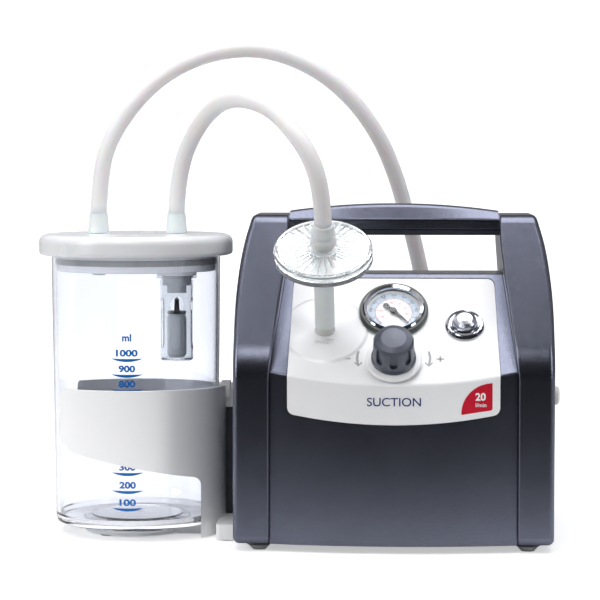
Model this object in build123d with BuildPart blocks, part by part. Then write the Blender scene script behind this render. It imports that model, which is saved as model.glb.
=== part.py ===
from build123d import *
import math
import os

os.makedirs("parts", exist_ok=True)

# ---- Placing: origin under the middle of the object, +Z up, front towards -Y ----
XP = 63.3          # pump centre line
YF = -68.0         # front plane of the side frames
XJ = XP - 172.8    # jar axis
YJ = YF + 85.0

# ---- Pump body ----
BODY_Z0 = 5.0
BODY_DEPTH = 170.0
BODY_HALF_W = 102.2
COVER_HALF_W = 78.7
COVER_R = 400.0
COVER_BULGE = 5.0
WALL = 3.0
SLOPE = math.radians(44.5)
SLOPE_Y, SLOPE_Z = 3.0, 115.5
DECK_Z = 174.5
FRAME_WALL = 2.5
HANDLE_HALF = 69.0

# ---- Console ----
GAUGE_Y, KNOB_Y = 39.0, 8.3
BUTTON_X, BUTTON_Y = 45.6, 30.5
INLET_X, INLET_Y = -44.2, 27.8
INLET_TILT = math.radians(33.4)
FILTER_R = 31.2

# ---- Jar set ----
JAR_R0, JAR_R1, JAR_WALL = 54.5, 56.5, 2.3
JAR_Z0, JAR_Z1 = 7.0, 189.5
LID_R = 64.85
PORT_L, PORT_R = -25.2, 27.2

# ---- Drive ----
MOTOR_Y, MOTOR_Z = 95.0, 50.0
CRANK = 2.5
ROD_X = 24.5

# ---- Hoses ----
HOSE_D = 11.0
COIL_R0 = 77.5
COIL_X, COIL_Y = -30.5, 285.5

TOP = Plane(origin=(XP, YF, 0), x_dir=(1, 0, 0), z_dir=(0, 0, 1))
FRONT = Plane(origin=(XP, YF, 0), x_dir=(1, 0, 0), z_dir=(0, -1, 0))
SIDE = Plane(origin=(XP, YF, 0), x_dir=(0, 1, 0), z_dir=(1, 0, 0))
JAR_TOP = Plane(origin=(XJ, YJ, 0), x_dir=(1, 0, 0), z_dir=(0, 0, 1))
JAR_FRONT = Plane(origin=(XJ, YJ, 0), x_dir=(1, 0, 0), z_dir=(0, -1, 0))
JAR_AXIS = Axis((XJ, YJ, 0), (0, 0, 1))


def slope_z(y, d=0.0):
    """Height of the console face at depth y, the face moved out by d."""
    return SLOPE_Z + (y - SLOPE_Y) * math.tan(SLOPE) + d / math.cos(SLOPE)


def console(x, y, out=0.0):
    """Plane on the console: local z out of it, local y up the slope."""
    n = Vector(0, -math.sin(SLOPE), math.cos(SLOPE))
    o = Vector(XP + x, YF + y, slope_z(y)) + n * out
    return Plane(origin=o, x_dir=(1, 0, 0), z_dir=n)


def inlet(s=0.0):
    """Plane across the inlet's axis, s along it from the console."""
    u = Vector(0, -math.sin(INLET_TILT), math.cos(INLET_TILT))
    o = Vector(XP + INLET_X, YF + INLET_Y, slope_z(INLET_Y)) + u * s
    return Plane(origin=o, x_dir=(1, 0, 0), z_dir=u)


def lengthwise(plane):
    """The plane that holds the given plane's axis: local x radial, local y along the axis."""
    return Plane(origin=plane.origin, x_dir=plane.x_dir, z_dir=-plane.y_dir)


def area(plane, points):
    """A closed face from corner points."""
    with BuildSketch(plane) as s:
        with BuildLine():
            Polyline(*points, close=True)
        make_face()
    return s.sketch


def turned(plane, points):
    """A solid of revolution about the plane's own axis; points are (radius, along)."""
    with BuildPart() as p:
        add(area(lengthwise(plane), points))
        revolve(axis=Axis(plane.origin, plane.z_dir))
    return p.part


pieces = {}


def save(piece, name):
    pieces[name] = piece


# ======================================================================
# Covers between the side frames
# ======================================================================
def middle(d, half_w, z0, soft=True):
    """The body between the side frames, its faces moved out by d."""
    r = COVER_R + d
    yc = -COVER_BULGE + COVER_R
    ys = yc - math.sqrt(r * r - 150.0 * 150.0)
    with BuildPart() as p:
        with BuildSketch(TOP.offset(z0)):
            with BuildLine():
                ThreePointArc((-150, ys), (0, -COVER_BULGE - d), (150, ys))
                Polyline((150, ys), (150, 167 + d), (-150, 167 + d), (-150, ys))
            make_face()
        extrude(amount=DECK_Z + d - z0)
        cut = [(-60, slope_z(-60, d)), (150, slope_z(150, d)), (-60, slope_z(150, d))]
        with BuildSketch(SIDE.offset(-200)):
            with BuildLine():
                Polyline(*cut, close=True)
            make_face()
            with BuildLine():
                Polyline(*[(170 - y, z) for y, z in cut], close=True)
            make_face()
        extrude(amount=400, mode=Mode.SUBTRACT)
        if soft:
            crease = p.edges().sort_by_distance((XP, YF - COVER_BULGE, slope_z(-COVER_BULGE)))[0]
            fillet(crease, radius=3.0 + d)
            lip = p.edges().filter_by(Axis.X).sort_by_distance((XP, YF + 63, DECK_Z + d))[0]
            fillet(lip, radius=max(2.0 + d, 0.6))
            back = p.edges().filter_by(Axis.X).sort_by_distance((XP, YF + 107, DECK_Z + d))[0]
            fillet(back, radius=max(2.0 + d, 0.6))
        w, t = half_w, half_w - 7.8
        with BuildSketch(FRONT.offset(80)):
            with BuildLine():
                Polyline((-w, z0 - 1), (w, z0 - 1), (w, 112), (t, 174.5), (t - 0.6, 186),
                         (-t + 0.6, 186), (-t, 174.5), (-w, 112), close=True)
            make_face()
        extrude(amount=-400, mode=Mode.INTERSECT)
    return p.part


cover_outer = middle(0.0, COVER_HALF_W, BODY_Z0)
cover_inner = middle(-WALL, COVER_HALF_W - WALL, -5.0, soft=False)


def panel_area(grow):
    """Outline of the control panel seen from the front."""
    g = grow
    with BuildSketch(FRONT.offset(60)) as s:
        with BuildLine():
            Polyline((-67.4 - g, 89 - g), (-67.4 - g, 112), (-65.5 - g, 171.4 + g),
                     (65.5 + g, 171.4 + g), (67.4 + g, 112), (67.4 + g, 89 - g))
            ThreePointArc((67.4 + g, 89 - g), (0, 82.5 - g), (-67.4 - g, 89 - g))
        make_face()
        fillet(s.vertices().group_by(Axis.Y)[-1], radius=4.5 + g)
        fillet(s.vertices().group_by(Axis.Y)[0], radius=5.0 + g)
    return s.sketch


with BuildPart() as covers:
    add(cover_outer)
    add(cover_inner, mode=Mode.SUBTRACT)

with BuildPart() as panel_recess:
    add(cover_outer)
    add(middle(-1.7, COVER_HALF_W + 5, -5.0, soft=False), mode=Mode.SUBTRACT)
    extrude(panel_area(0.55), amount=-130, mode=Mode.INTERSECT)

with BuildPart() as front_cover:
    add(covers.part)
    with BuildSketch(TOP.offset(-10)):
        with Locations((0, -12.2)):
            Rectangle(300, 196)
    extrude(amount=250, mode=Mode.INTERSECT)
    add(panel_recess.part, mode=Mode.SUBTRACT)
    with BuildSketch(console(0, GAUGE_Y, 12)):
        Circle(20.4)
    extrude(amount=-30, mode=Mode.SUBTRACT)
    with BuildSketch(console(0, KNOB_Y, 12)):
        Circle(10.3)
    extrude(amount=-30, mode=Mode.SUBTRACT)
    with BuildSketch(console(BUTTON_X, BUTTON_Y, 12)):
        Circle(11.0)
    extrude(amount=-30, mode=Mode.SUBTRACT)
    with BuildSketch(inlet(15)):
        Circle(6.6)
    extrude(amount=-35, mode=Mode.SUBTRACT)

with BuildPart() as rear_cover:
    add(covers.part)
    with BuildSketch(TOP.offset(-10)):
        with Locations((0, 146.0)):
            Rectangle(300, 120)
    extrude(amount=250, mode=Mode.INTERSECT)
    # cooling louvres
    with BuildSketch(FRONT.offset(-160)):
        with GridLocations(0, 7.0, 1, 7):
            with Locations((-32, 92)):
                SlotOverall(46, 3.0)
    extrude(amount=-20, mode=Mode.SUBTRACT)
    # mains inlet, fuse drawer, exhaust
    with BuildSketch(FRONT.offset(-160)):
        with Locations((48, 34)):
            RectangleRounded(27.4, 20.4, 3)
        with Locations((48, 62)):
            Circle(6.3)
        with Locations((-50, 34)):
            Circle(9.3)
    extrude(amount=-20, mode=Mode.SUBTRACT)

save(front_cover.part, "front_cover")
save(rear_cover.part, "rear_cover")

# ======================================================================
# Control panel
# ======================================================================
with BuildPart() as inlet_mound:
    with BuildSketch(console(INLET_X, INLET_Y, -1.2)):
        Circle(32.5)
    extrude(amount=2.3, taper=70)
    extrude(panel_area(-0.3), amount=-130, mode=Mode.INTERSECT)
    with BuildSketch(console(0, GAUGE_Y, -4)):
        Circle(23.2)
    extrude(amount=12, mode=Mode.SUBTRACT)

with BuildPart() as control_panel:
    add(middle(0.35, COVER_HALF_W + 5, -5.0))
    add(middle(-1.6, COVER_HALF_W + 8, -8.0, soft=False), mode=Mode.SUBTRACT)
    extrude(panel_area(0.0), amount=-130, mode=Mode.INTERSECT)
    # low mound around the inlet, knob pedestal and collar
    add(inlet_mound.part)
    with BuildSketch(console(0, KNOB_Y, -1.2)):
        Circle(13.5)
    extrude(amount=4.5)
    with BuildSketch(console(0, KNOB_Y, 1.9)):
        Circle(17.9)
    extrude(amount=2.6)
    ring = control_panel.edges().filter_by(GeomType.CIRCLE).filter_by(lambda e: abs(e.radius - 17.9) < 0.01)
    fillet(ring, radius=1.0)
    with BuildSketch(console(0, KNOB_Y, 8)):
        Circle(9.9)
    extrude(amount=-14, mode=Mode.SUBTRACT)
    with BuildSketch(console(0, GAUGE_Y, 8)):
        Circle(20.2)
    extrude(amount=-14, mode=Mode.SUBTRACT)
    with BuildSketch(console(BUTTON_X, BUTTON_Y, 8)):
        Circle(10.8)
    extrude(amount=-14, mode=Mode.SUBTRACT)
    with BuildSketch(inlet(15)):
        Circle(6.4)
    extrude(amount=-30, mode=Mode.SUBTRACT)
save(control_panel.part, "control_panel")

# ======================================================================
# Side frames and handle
# ======================================================================
def side_area(d):
    """Side profile of a frame, faces moved out by d."""
    with BuildSketch(SIDE.offset(55)) as s:
        with BuildLine():
            FilletPolyline((0, BODY_Z0), (0, 123), (57, 213.5), (113, 213.5), (BODY_DEPTH, 123),
                           (BODY_DEPTH, BODY_Z0), radius=(5, 40, 11, 11, 40, 5), close=True)
        make_face()
        if d:
            offset(amount=d, kind=Kind.INTERSECTION)
    return s.sketch


def frame_right():
    with BuildPart() as hollow:
        extrude(side_area(-FRAME_WALL), amount=60)
        with BuildSketch(FRONT.offset(20)):
            with BuildLine():
                Polyline((81.5, -10), (99.7, -10), (99.7, 148), (98.0, 172), (94.4, 196), (91.2, 208),
                         (71.5, 208), (71.5, 197), (73.8, 175), (81.5, 113.5), close=True)
            make_face()
        extrude(amount=-220, mode=Mode.INTERSECT)
    with BuildPart() as p:
        extrude(side_area(0.0), amount=60)
        with BuildSketch(FRONT.offset(20)):
            with BuildLine():
                l1 = FilletPolyline((79, 0), (79, 112), (71.2, 174.5), (69, 196), (69, 230), radius=60)
                l2 = Line((69, 230), (92.6, 230))
                l3 = Line((92.6, 230), (92.9, 213.5))
                l4 = Spline((92.9, 213.5), (97.2, 197), (100.3, 178), (102.2, 145), tangents=[(0.22, -1), (0, -1)])
                l5 = Polyline((102.2, 145), (102.2, 0), (79, 0))
            make_face()
        extrude(amount=-220, mode=Mode.INTERSECT)
        outer = [e for e in p.edges() if (e @ 0.5).X > XP + 90 and not (abs((e @ 0).Z - 145) < 0.5 and abs((e @ 1).Z - 145) < 0.5)
                 and not (e.geom_type == GeomType.LINE and abs(e.tangent_at(0.5).Y) > 0.99 and 10 < (e @ 0.5).Z < 205)]
        fillet(outer, radius=4.0)
        inner = [e for e in p.edges() if (e @ 0.5).X < XP + 80.5
                 and not (e.geom_type == GeomType.LINE and abs(e.tangent_at(0.5).Y) > 0.99 and 10 < (e @ 0.5).Z < 205)]
        fillet(inner, radius=1.6)
        # hollow
        add(hollow.part, mode=Mode.SUBTRACT)
        # window to the inside of the body
        with BuildSketch(SIDE.offset(60)):
            with BuildLine():
                Polyline((14, 14), (156, 14), (156, 108), (101, 162), (69, 162), (14, 108), close=True)
            make_face()
            fillet(vertices(), radius=6)
        extrude(amount=30, mode=Mode.SUBTRACT)
    return p.part


right_frame = frame_right()
left_frame = right_frame.mirror(Plane(origin=(XP, YF, 0), x_dir=(0, 1, 0), z_dir=(1, 0, 0)))
save(right_frame, "side_frame_right")
save(left_frame, "side_frame_left")

# Handle: lofted bar, arched on top, straight underneath, with a softer grip below
with BuildPart() as handle_bar:
    for x in (-HANDLE_HALF, -46, -23, 0, 23, 46, HANDLE_HALF):
        top = 220.3 - 4.9 * (x / HANDLE_HALF) ** 2
        with BuildSketch(SIDE.offset(x)):
            with BuildLine():
                FilletPolyline((71, 203.6), (101, 203.6), (102, 210.0), (96, top), (76, top), (70, 210.0),
                               radius=(0.5, 0.5, 3.0, 4.5, 4.5, 3.0), close=True)
            make_face()
    loft()
save(handle_bar.part, "handle_bar")

with BuildPart() as handle_grip:
    with BuildSketch(SIDE.offset(-HANDLE_HALF)):
        with BuildLine():
            FilletPolyline((72.2, 203.5), (99.8, 203.5), (98.2, 199.5), (73.8, 199.5),
                           radius=(0.6, 0.6, 2.4, 2.4), close=True)
        make_face()
    extrude(amount=2 * HANDLE_HALF)
save(handle_grip.part, "handle_grip")

# ======================================================================
# Base
# ======================================================================
with BuildPart() as base_plate:
    with BuildSketch(TOP.offset(BODY_Z0)):
        yc = -COVER_BULGE + COVER_R
        r = COVER_R - WALL - 0.3
        with BuildLine():
            ThreePointArc((-75.2, yc - math.sqrt(r * r - 75.2 ** 2)), (0, yc - r), (75.2, yc - math.sqrt(r * r - 75.2 ** 2)))
            Polyline((75.2, yc - math.sqrt(r * r - 75.2 ** 2)), (75.2, 163.6), (-75.2, 163.6),
                     (-75.2, yc - math.sqrt(r * r - 75.2 ** 2)))
        make_face()
    extrude(amount=3.0)
    with BuildSketch(TOP.offset(BODY_Z0 + 3)):
        with GridLocations(120, 130, 2, 2):
            with Locations((0, 85)):
                Circle(5)
    extrude(amount=12)
    with BuildSketch(TOP.offset(BODY_Z0 - 1)):
        with GridLocations(120, 130, 2, 2):
            with Locations((0, 85)):
                Circle(2.0)
        with GridLocations(8, 0, 8, 1):
            with Locations((-36, 100)):
                SlotOverall(34, 3.2, rotation=90)
    extrude(amount=20, mode=Mode.SUBTRACT)
save(base_plate.part, "base_plate")

with BuildPart() as base_screws:
    with BuildSketch(TOP.offset(BODY_Z0 - 1.6)):
        with GridLocations(120, 130, 2, 2):
            with Locations((0, 85)):
                Circle(3.4)
    extrude(amount=1.6)
    with BuildSketch(TOP.offset(BODY_Z0)):
        with GridLocations(120, 130, 2, 2):
            with Locations((0, 85)):
                Circle(1.95)
    extrude(amount=11)
    with BuildSketch(TOP.offset(BODY_Z0 - 1.7)):
        with GridLocations(120, 130, 2, 2):
            with Locations((0, 85)):
                Rectangle(4.0, 0.9)
                Rectangle(0.9, 4.0)
    extrude(amount=1.2, mode=Mode.SUBTRACT)
save(base_screws.part, "base_screws")

with BuildPart() as foot_pads:
    for x in (-86, 86):
        for y in (14, 156):
            add(turned(Plane(origin=(XP + x, YF + y, 0), x_dir=(1, 0, 0), z_dir=(0, 0, 1)),
                       [(0, 3.2), (7.5, 3.2), (9.6, 4.4), (9.6, 4.98), (0, 4.98)]))
save(foot_pads.part, "foot_pads")

with BuildPart() as rubber_feet:
    for x in (-86, 86):
        for y in (14, 156):
            add(turned(Plane(origin=(XP + x, YF + y, 0), x_dir=(1, 0, 0), z_dir=(0, 0, 1)),
                       [(0, 0), (4.2, 0), (7.2, 3.15), (0, 3.15)]))
save(rubber_feet.part, "rubber_feet")

# ======================================================================
# Gauge
# ======================================================================
gauge0 = console(0, GAUGE_Y)
save(turned(gauge0, [(0, -26), (19.8, -26), (19.8, 2.2), (18.6, 2.2), (18.6, -5.6), (17.9, -5.6), (17.9, -24), (0, -24)]), "gauge_case")
save(turned(gauge0, [(20.1, 0.4), (22.3, 0.4), (22.3, 2.6), (21.4, 4.2), (20.1, 4.2)]), "gauge_gasket")
save(turned(gauge0, [(17.4, 2.3), (20.0, 2.3), (20.0, 4.6), (19.2, 5.4), (17.4, 4.6)]), "gauge_bezel")
save(turned(gauge0, [(0, 2.9), (17.3, 2.3), (17.3, 3.5), (12, 4.7), (0, 5.2), ]), "gauge_lens")

with BuildPart() as gauge_dial:
    with BuildSketch(gauge0.offset(-1.6)):
        Circle(18.4)
        Circle(1.6, mode=Mode.SUBTRACT)
    extrude(amount=0.8)
save(gauge_dial.part, "gauge_dial")

# Bourdon tube, socket and link plate behind the dial
with BuildPart() as gauge_movement:
    with BuildSketch(gauge0.offset(-10)):
        Circle(15.4)
        Circle(12.6, mode=Mode.SUBTRACT)
        with BuildLine():
            Polyline((0, 0), (-24, -14), (-24, -6), close=True)
        make_face(mode=Mode.SUBTRACT)
    extrude(amount=5.0)
    with BuildSketch(gauge0.offset(-10)):
        with Locations((0, -13.6)):
            Rectangle(12, 5.4)
    extrude(amount=5.0)
    with BuildSketch(gauge0.offset(-23.9)):
        with Locations((0, -13.2)):
            Circle(3.4)
    extrude(amount=16)
save(gauge_movement.part, "gauge_movement")

with BuildPart() as gauge_needle:
    with BuildSketch(gauge0.offset(0.1)):
        with BuildLine():
            # tip down to the right (rest at zero), broad tail up to the left
            a = math.radians(-45)
            c, s = math.cos(a), math.sin(a)
            pts = [(13.2, 0.0), (0, 1.5), (-4.0, 1.1), (-7.6, 1.9), (-9.2, 0.0), (-7.6, -1.9), (-4.0, -1.1), (0, -1.5)]
            Polyline(*[(c * u - s * v, s * u + c * v) for u, v in pts], close=True)
        make_face()
        Circle(2.3)
    extrude(amount=0.7)
    with BuildSketch(gauge0.offset(0.8)):
        Circle(1.8)
    extrude(amount=0.9)
    with BuildSketch(gauge0.offset(-8.0)):
        Circle(0.9)
    extrude(amount=8.2)
save(gauge_needle.part, "gauge_needle")

# ======================================================================
# Vacuum regulator
# ======================================================================
knob0 = console(0, KNOB_Y)
with BuildPart() as regulator_knob:
    add(turned(knob0, [(0, 4.9), (14.2, 4.9), (14.2, 6.2), (13.4, 6.8), (12.9, 21.0), (11.6, 23.3), (8.0, 24.6), (0, 25.2)]))
    for k in range(8):
        a = math.radians(45 * k - 90)
        o = knob0.origin + knob0.x_dir * (math.cos(a) * 13.4) + knob0.y_dir * (math.sin(a) * 13.4)
        ax = Plane(origin=o + knob0.z_dir * 15.6, x_dir=knob0.z_dir, z_dir=knob0.x_dir * math.cos(a) + knob0.y_dir * math.sin(a))
        with BuildSketch(ax.offset(-2.0)):
            SlotOverall(12.6, 5.0)
        extrude(amount=8, mode=Mode.SUBTRACT)
    with BuildSketch(knob0.offset(4.8)):
        Circle(3.0)
    extrude(amount=12, mode=Mode.SUBTRACT)
save(regulator_knob.part, "regulator_knob")

with BuildPart() as valve_spindle:
    with BuildSketch(knob0.offset(-19)):
        Circle(2.97)
    extrude(amount=35.5)
    add(turned(knob0, [(0, -24), (2.97, -19), (0, -19)]))
save(valve_spindle.part, "valve_spindle")

with BuildPart() as valve_body:
    add(turned(knob0, [(0, -30), (9.2, -30), (9.2, 4.2), (3.05, 4.2), (3.05, -25), (0, -27)]))
    add(turned(knob0, [(0, -38), (2.6, -38), (3.4, -36), (2.6, -33), (2.6, -30), (0, -30)]))
    with BuildSketch(knob0.offset(-39)):
        Circle(1.4)
    extrude(amount=14.5, mode=Mode.SUBTRACT)
save(valve_body.part, "valve_body")

# ======================================================================
# Power button
# ======================================================================
btn0 = console(BUTTON_X, BUTTON_Y)
save(turned(btn0, [(8.35, -2.8), (10.6, -2.8), (10.6, 0.4), (12.5, 0.4), (12.5, 1.4), (11.4, 2.8), (10.0, 2.3), (9.3, 3.4), (8.35, 3.2)]), "button_bezel")
with BuildPart() as power_button:
    add(turned(btn0, [(0, -7.0), (2.0, -7.0), (2.0, -3.4), (7.95, -3.4), (7.95, 5.2), (7.3, 6.6), (5.0, 7.8), (2.5, 8.3), (0, 8.4)]))
save(power_button.part, "power_button")
with BuildPart() as switch_body:
    add(turned(btn0, [(0, -30), (10.5, -30), (10.5, -2.9), (8.35, -2.9), (8.35, -20), (0, -20)]))
    with BuildSketch(btn0.offset(-36)):
        with GridLocations(9, 8, 2, 2):
            Rectangle(4.8, 0.8)
    extrude(amount=6)
save(switch_body.part, "switch_body")
with BuildPart() as button_spring:
    with BuildLine() as spring_line:
        Helix(pitch=2.6, height=9.1, radius=4.4, center=tuple(btn0.origin + btn0.z_dir * -19.5), direction=tuple(btn0.z_dir))
    with BuildSketch(Plane(origin=spring_line.line @ 0, z_dir=spring_line.line % 0)):
        Circle(0.35)
    sweep(path=spring_line.line, is_frenet=True)
save(button_spring.part, "button_spring")

# ======================================================================
# Inlet and bacteria filter
# ======================================================================
with BuildPart() as inlet_port:
    add(turned(inlet(), [(2.2, -24), (3.6, -24), (4.3, -21.5), (3.6, -19), (3.6, -9.0), (6.1, -9.0), (6.1, 4.4), (4.0, 4.4), (4.0, 20), (3.2, 22), (2.2, 22)]))
save(inlet_port.part, "inlet_port")
save(turned(inlet(), [(4.1, 4.6), (6.3, 4.6), (6.5, 7), (6.3, 30), (6.6, 47), (6.4, 54.0), (4.4, 54.0), (4.4, 24), (4.1, 22)]), "inlet_sleeve")
save(turned(inlet(), [(2.4, 40), (4.2, 40), (4.2, 55.0), (9.5, 56.2), (10.5, 57.8), (FILTER_R, 57.8), (FILTER_R, 61.2), (29.2, 61.2), (29.2, 59.8), (8, 59.8), (2.4, 58.6)]), "filter_lower")
save(turned(inlet(), [(2.4, 81), (4.2, 81), (4.2, 66.9), (9.5, 66.2), (10.5, 64.8), (FILTER_R - 0.4, 64.8), (FILTER_R, 64.2), (FILTER_R, 61.3), (29.2, 61.3), (29.2, 62.8), (8, 62.8), (2.4, 64)]), "filter_upper")
save(turned(inlet(), [(0, 60.9), (29.0, 60.9), (29.0, 61.6), (0, 61.6)]), "filter_membrane")
save(turned(inlet(), [(4.3, 67.5), (7.4, 67.5), (8.1, 69.0), (8.2, 72.5), (7.4, 74.5), (7.9, 77), (7.0, 80.5), (6.7, 83.7), (3.5, 83.7), (3.5, 81.2), (4.3, 81.2)]), "filter_hose_cuff")

# ======================================================================
# Rear services
# ======================================================================
with BuildPart() as mains_inlet:
    with BuildSketch(FRONT.offset(-148)):
        with Locations((48, 34)):
            RectangleRounded(27.0, 20.0, 2.8)
    extrude(amount=-19.4)
    with BuildSketch(FRONT.offset(-167.2)):
        with Locations((48, 34)):
            RectangleRounded(31.0, 24.0, 3)
    extrude(amount=-1.8)
    with BuildSketch(FRONT.offset(-152)):
        with BuildLine():
            Polyline((48 - 12, 34 - 8), (48 + 12, 34 - 8), (48 + 12, 34 + 4), (48 + 8.5, 34 + 8), (48 - 8.5, 34 + 8), (48 - 12, 34 + 4), close=True)
        make_face()
    extrude(amount=-20, mode=Mode.SUBTRACT)
    with BuildSketch(FRONT.offset(-151)):
        with Locations((48 - 7, 34 - 1.5), (48, 34 + 2.5), (48 + 7, 34 - 1.5)):
            Rectangle(2.0, 4.0)
    extrude(amount=-14.5)
save(mains_inlet.part, "mains_inlet")
with BuildPart() as fuse_holder:
    with BuildSketch(FRONT.offset(-135)):
        with Locations((48, 62)):
            Circle(6.0)
    extrude(amount=-32)
    with BuildSketch(FRONT.offset(-167.2)):
        with Locations((48, 62)):
            Circle(8.0)
    extrude(amount=-3.0)
    with BuildSketch(FRONT.offset(-169.4)):
        with Locations((48, 62)):
            Rectangle(9, 1.4)
    extrude(amount=-2, mode=Mode.SUBTRACT)
save(fuse_holder.part, "fuse_holder")
with BuildPart() as exhaust_silencer:
    with BuildSketch(FRONT.offset(-130)):
        with Locations((-50, 34)):
            Circle(9.0)
    extrude(amount=-37)
    with BuildSketch(FRONT.offset(-167.2)):
        with Locations((-50, 34)):
            Circle(11.0)
    extrude(amount=-2.0)
    with BuildSketch(FRONT.offset(-134)):
        with Locations((-50, 34)):
            with PolarLocations(5.2, 6):
                Circle(1.5)
            Circle(1.5)
    extrude(amount=-60, mode=Mode.SUBTRACT)
save(exhaust_silencer.part, "exhaust_silencer")

# ======================================================================
# Drive: motor, crank, diaphragm pump
# ======================================================================
AXIS = Plane(origin=(XP, YF + MOTOR_Y, MOTOR_Z), x_dir=(0, 1, 0), z_dir=(1, 0, 0))
save(turned(AXIS, [(8.05, -70), (28, -70), (28, -8), (25.6, -8), (25.6, -67.5), (8.05, -67.5)]), "motor_can")
with BuildPart() as motor_magnets:
    for a0 in (25, 205):
        with BuildSketch(AXIS.offset(-62)):
            with BuildLine():
                CenterArc((0, 0), 25.5, a0, 130)
                CenterArc((0, 0), 21.6, a0, 130)
                Line((25.5 * math.cos(math.radians(a0)), 25.5 * math.sin(math.radians(a0))),
                     (21.6 * math.cos(math.radians(a0)), 21.6 * math.sin(math.radians(a0))))
                Line((25.5 * math.cos(math.radians(a0 + 130)), 25.5 * math.sin(math.radians(a0 + 130))),
                     (21.6 * math.cos(math.radians(a0 + 130)), 21.6 * math.sin(math.radians(a0 + 130))))
            make_face()
        extrude(amount=46)
save(motor_magnets.part, "motor_magnets")
with BuildPart() as motor_end_plate:
    add(turned(AXIS, [(8.05, -7.9), (30, -7.9), (30, -4.6), (8.05, -4.6)]))
    with BuildSketch(AXIS.offset(-9)):
        with PolarLocations(19, 6, start_angle=30):
            Circle(3.0)
    extrude(amount=6, mode=Mode.SUBTRACT)
save(motor_end_plate.part, "motor_end_plate")
with BuildPart() as motor_bearings:
    add(turned(AXIS, [(3.04, -71), (8.0, -71), (8.0, -66.6), (3.04, -66.6)]))
    add(turned(AXIS, [(3.04, -8.8), (8.0, -8.8), (8.0, -4.4), (3.04, -4.4)]))
save(motor_bearings.part, "motor_bearings")

with BuildPart() as rotor_core:
    with BuildSketch(AXIS.offset(-60)):
        Circle(20.9)
        with PolarLocations(18.4, 12):
            Circle(2.0, mode=Mode.SUBTRACT)
        Circle(3.0, mode=Mode.SUBTRACT)
    extrude(amount=42)
save(rotor_core.part, "rotor_core")
with BuildPart() as rotor_windings:
    add(turned(AXIS, [(7.0, -17.9), (16.0, -17.9), (16.6, -14.5), (13, -12.4), (7.0, -12.4)]))
    add(turned(AXIS, [(7.0, -65.8), (13, -65.8), (16.4, -63.5), (16.0, -60.1), (7.0, -60.1)]))
save(rotor_windings.part, "rotor_windings")
with BuildPart() as motor_shaft:
    with BuildSketch(AXIS.offset(-74)):
        Circle(3.0)
    extrude(amount=74 + ROD_X - 6)
save(motor_shaft.part, "motor_shaft")
with BuildPart() as cooling_fan:
    add(turned(AXIS, [(3.0, -3.6), (8, -3.6), (8, 3.4), (3.0, 3.4)]))
    with BuildSketch(AXIS.offset(-3.2)):
        with PolarLocations(16, 8):
            Rectangle(18, 2.2)
    extrude(amount=6.0)
    with BuildSketch(AXIS.offset(-3.4)):
        Circle(25.6)
        Circle(24.2, mode=Mode.SUBTRACT)
    extrude(amount=6.4)
save(cooling_fan.part, "cooling_fan")
with BuildPart() as crank:
    with BuildSketch(AXIS.offset(ROD_X - 12)):
        Circle(10.5)
        Circle(3.0, mode=Mode.SUBTRACT)
    extrude(amount=6.0)
    with BuildSketch(AXIS.offset(ROD_X - 6)):
        Circle(10.5)
    extrude(amount=1.4)
    with BuildSketch(AXIS.offset(ROD_X - 4.6)):
        with Locations((0, CRANK)):
            Circle(3.5)
    extrude(amount=9.4)
save(crank.part, "crank")

ROD = Plane(origin=(XP + ROD_X, YF + MOTOR_Y, MOTOR_Z + CRANK), x_dir=(0, 1, 0), z_dir=(1, 0, 0))
save(turned(ROD, [(3.54, -3.4), (7.0, -3.4), (7.0, 3.4), (3.54, 3.4)]), "rod_bearing")
with BuildPart() as connecting_rod:
    with BuildSketch(ROD.offset(-3.6)):
        Circle(10.0)
        with BuildLine():
            Polyline((-5.5, 4), (5.5, 4), (3.4, 33.0), (-3.4, 33.0), close=True)
        make_face()
        Circle(7.0, mode=Mode.SUBTRACT)
    extrude(amount=7.2)
    top_of_rod = Plane(origin=(XP + ROD_X, YF + MOTOR_Y, 0), x_dir=(1, 0, 0), z_dir=(0, 0, 1))
    add(turned(top_of_rod, [(0, 84.6), (4, 84.6), (9.5, 88.4), (9.5, 91.5), (0, 91.5)]))
save(connecting_rod.part, "connecting_rod")

# Pump housing, open below, crank side open towards the motor
HX, HY = ROD_X + 0.6, MOTOR_Y
with BuildPart() as pump_housing:
    with BuildSketch(TOP.offset(20)):
        with Locations((HX, HY)):
            RectangleRounded(40, 50, 4)
    extrude(amount=72)
    with BuildSketch(TOP.offset(19)):
        with Locations((HX, HY)):
            RectangleRounded(33, 43, 3)
    extrude(amount=67, mode=Mode.SUBTRACT)
    with BuildSketch(TOP.offset(80)):
        with Locations((ROD_X, MOTOR_Y)):
            Circle(15.0)
    extrude(amount=20, mode=Mode.SUBTRACT)
    with BuildSketch(AXIS.offset(ROD_X - 28)):
        Circle(14.0)
    extrude(amount=18, mode=Mode.SUBTRACT)
save(pump_housing.part, "pump_housing")

HEAD = Plane(origin=(XP + ROD_X, YF + MOTOR_Y, 0), x_dir=(1, 0, 0), z_dir=(0, 0, 1))
save(turned(HEAD, [(0, 92.0), (10, 92.0), (13, 92.6), (15.5, 92.0), (20.4, 92.0), (20.4, 93.6), (0, 93.6)]), "diaphragm")
with BuildPart() as valve_plate:
    with BuildSketch(TOP.offset(92.0)):
        with Locations((HX, HY)):
            RectangleRounded(40, 50, 4)
    extrude(amount=8.0)
    add(turned(HEAD, [(0, 91.5), (20.5, 91.5), (20.5, 93.65), (15.5, 93.65), (15.5, 96.6), (0, 96.6)]), mode=Mode.SUBTRACT)
    with BuildSketch(TOP.offset(96)):
        with Locations((ROD_X, MOTOR_Y - 8), (ROD_X, MOTOR_Y + 8)):
            with PolarLocations(2.2, 4):
                Circle(0.9)
    extrude(amount=6, mode=Mode.SUBTRACT)
save(valve_plate.part, "valve_plate")
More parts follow.
